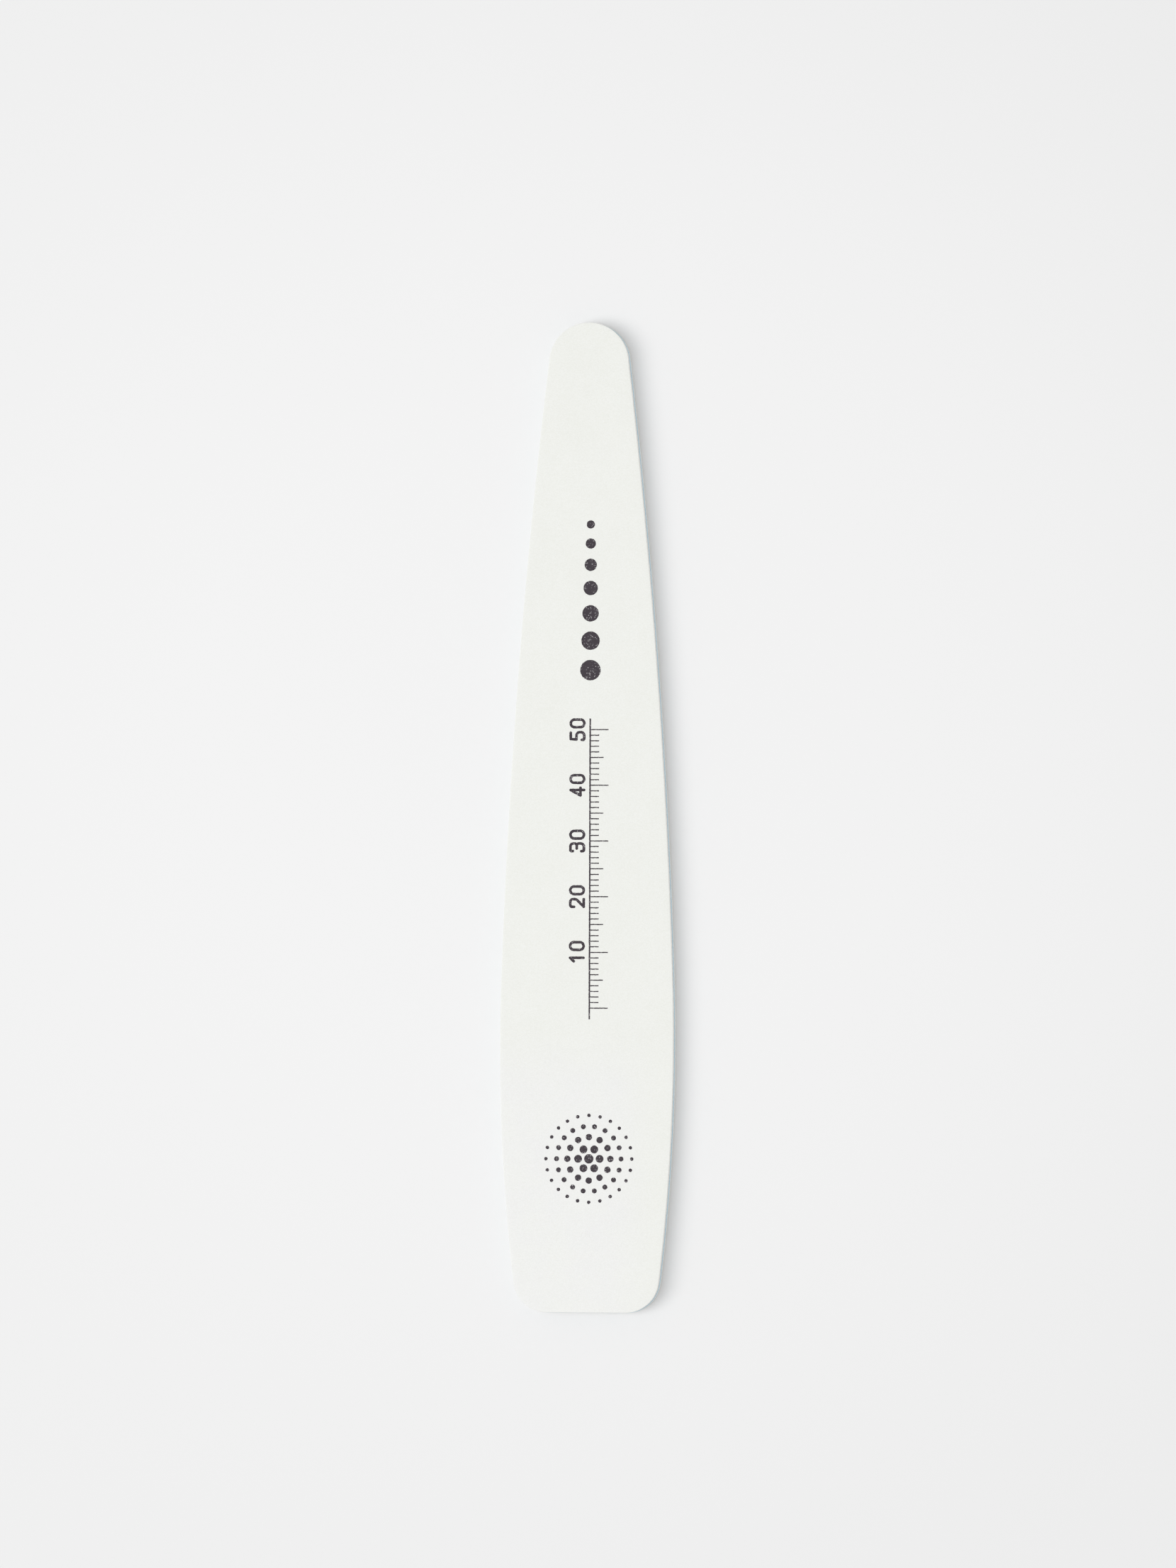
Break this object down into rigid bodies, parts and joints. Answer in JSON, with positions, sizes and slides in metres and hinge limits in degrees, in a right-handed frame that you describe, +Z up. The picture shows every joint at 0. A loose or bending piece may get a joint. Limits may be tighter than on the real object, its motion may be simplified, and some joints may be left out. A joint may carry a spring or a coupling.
{
  "type": "nail file",
  "caption": "Cushioned nail file: a flat tapered board with a round tip, grit sheets over foam pads on a stiff core, and a plain printed measuring scale with dots.",
  "frame": {"origin": "centre of the lower face's bounding box, on the surface that the file lies on", "axes": "+X across the file, +Y along it from the straight butt end to the round tip, +Z up out of the printed upper face"},
  "size_m": [0.0314, 0.178, 0.004],
  "materials": {
    "grit": "matte white aluminium oxide grit in resin",
    "backing_paper": "latex-soaked paper, die-cut",
    "adhesive": "clear acrylic film with a satin cut edge",
    "foam": "closed-cell EVA foam, die-cut",
    "core": "pale blue polystyrene sheet, die-cut",
    "print_ink": "dark grey pad-print ink, broken by the grit"
  },
  "bodies": {
    "root": {"lower_grit_coat": "grit", "lower_backing_paper": "backing_paper", "lower_face_adhesive": "adhesive", "lower_foam_pad": "foam", "lower_core_adhesive": "adhesive", "core_board": "core", "upper_core_adhesive": "adhesive", "upper_foam_pad": "foam", "upper_face_adhesive": "adhesive", "upper_backing_paper": "backing_paper", "upper_grit_coat": "grit", "scale_print": "print_ink", "scale_number_print": "print_ink", "dot_row_print": "print_ink", "dot_rosette_print": "print_ink"}
  },
  "joints": []
}
